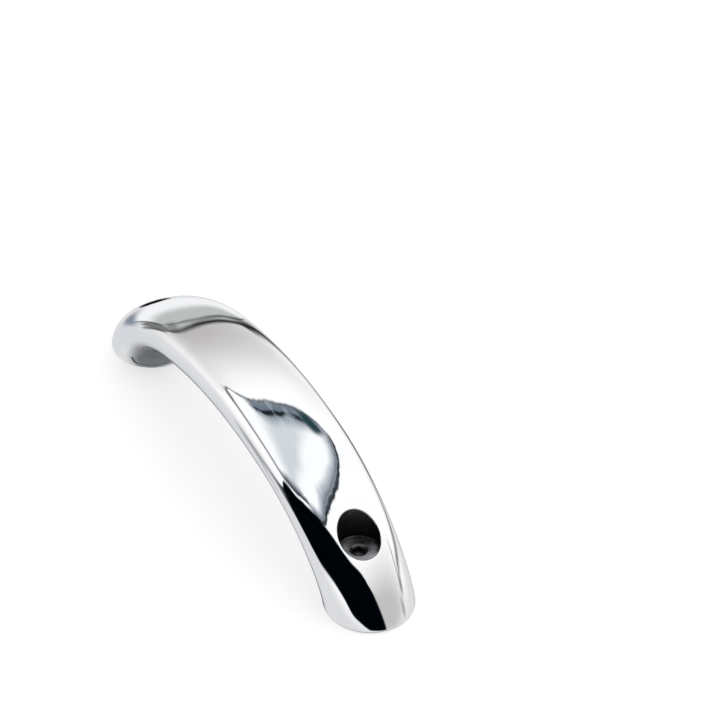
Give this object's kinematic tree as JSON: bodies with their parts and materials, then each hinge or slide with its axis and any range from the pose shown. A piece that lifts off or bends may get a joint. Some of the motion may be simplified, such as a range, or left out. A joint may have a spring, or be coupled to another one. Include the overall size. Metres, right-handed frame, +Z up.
{
  "type": "boat grab rail",
  "caption": "Short arched grab rail, one polished stainless casting with round counterbored feet, gaskets and through-deck screws, washers and lock nuts.",
  "frame": {"origin": "on the deck surface that the feet stand on, midway between the two screws", "axes": "+X along the rail towards its forward foot, +Z up, away from the deck"},
  "size_m": [0.1804, 0.03, 0.072],
  "materials": {
    "polished_steel": "mirror-polished cast 316 stainless",
    "fastener_steel": "turned and rolled A4 stainless",
    "gasket_rubber": "moulded neoprene",
    "nylon": "natural nylon"
  },
  "bodies": {
    "root": {"rail_casting": "polished_steel", "foot_gasket_forward": "gasket_rubber", "foot_gasket_aft": "gasket_rubber", "deck_screw_forward": "fastener_steel", "deck_screw_aft": "fastener_steel", "deck_washer_forward": "fastener_steel", "deck_washer_aft": "fastener_steel", "lock_nut_forward": "fastener_steel", "lock_nut_aft": "fastener_steel", "nylon_ring_forward": "nylon", "nylon_ring_aft": "nylon"}
  },
  "joints": []
}
